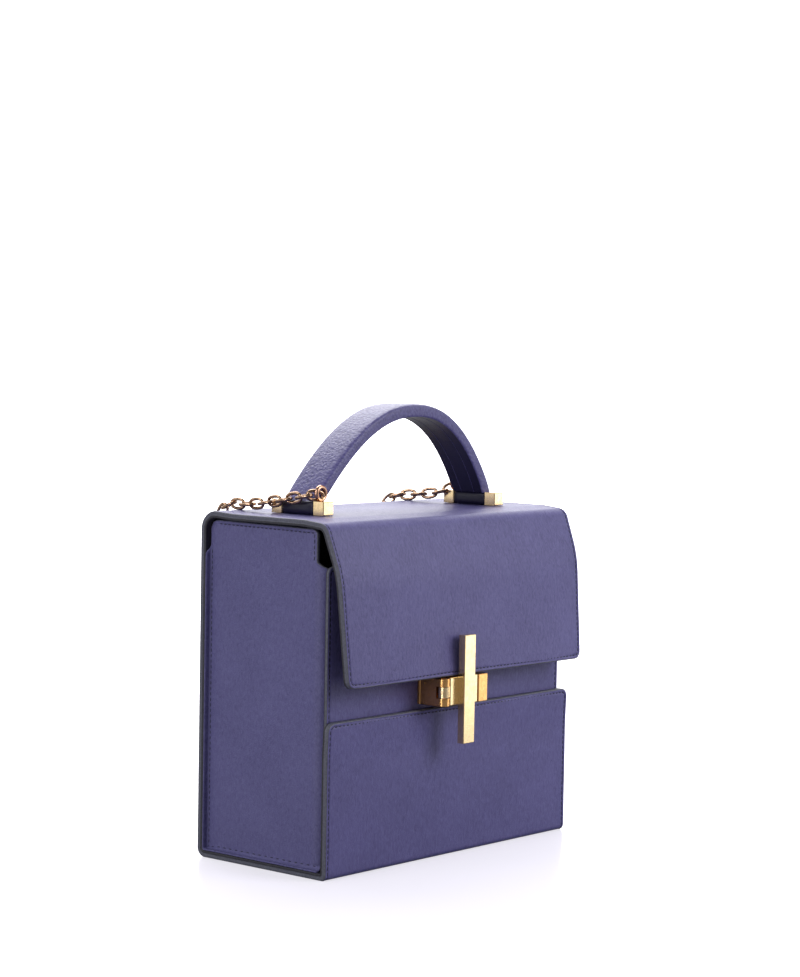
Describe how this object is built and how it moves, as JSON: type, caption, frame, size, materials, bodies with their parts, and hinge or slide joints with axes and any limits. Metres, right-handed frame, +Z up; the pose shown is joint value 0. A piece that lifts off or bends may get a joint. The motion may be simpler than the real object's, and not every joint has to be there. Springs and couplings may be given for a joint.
{
  "type": "box bag",
  "caption": "Structured leather box bag with a flap, an arched top handle on gold fittings, a swinging bar clasp and a chain strap.",
  "frame": {"origin": "middle of the bottom face that the bag stands on", "axes": "+Z up, -Y the front with the flap and the clasp, +X to the right seen from the front"},
  "size_m": [0.2576, 0.2175, 0.2412],
  "materials": {
    "leather": "fine vertical grain, semi-matt navy, painted grey edges",
    "handle_leather": "pebbled grain, semi-matt navy",
    "roll_leather": "smooth, glossy, nearly black navy",
    "gold": "polished pale gold plating",
    "clasp_gold": "polished warm gold plating",
    "chain_gold": "antiqued dark gold"
  },
  "bodies": {
    "bag": {"outer_wrap": "leather", "front_panel": "leather", "handle": "handle_leather", "gusset_left": "leather", "gusset_right": "leather", "handle_fitting_left": "gold", "handle_fitting_right": "gold", "handle_roll_left": "roll_leather", "handle_roll_right": "roll_leather", "eyelet_left": "chain_gold", "eyelet_right": "chain_gold", "clasp_plate": "clasp_gold", "clasp_hinge_block": "clasp_gold", "clasp_pin": "clasp_gold", "clasp_catch": "clasp_gold", "chain_strap_left": "chain_gold", "chain_strap_right": "chain_gold"},
    "clasp_bar": {"clasp_bar": "gold"}
  },
  "joints": [
    {"name": "clasp_swing", "type": "hinge", "parent": "bag", "child": "clasp_bar", "pos_m": [-0.0226, -0.0578, 0.091], "axis": [0, 0, -1], "range_deg": [0, 95]}
  ]
}
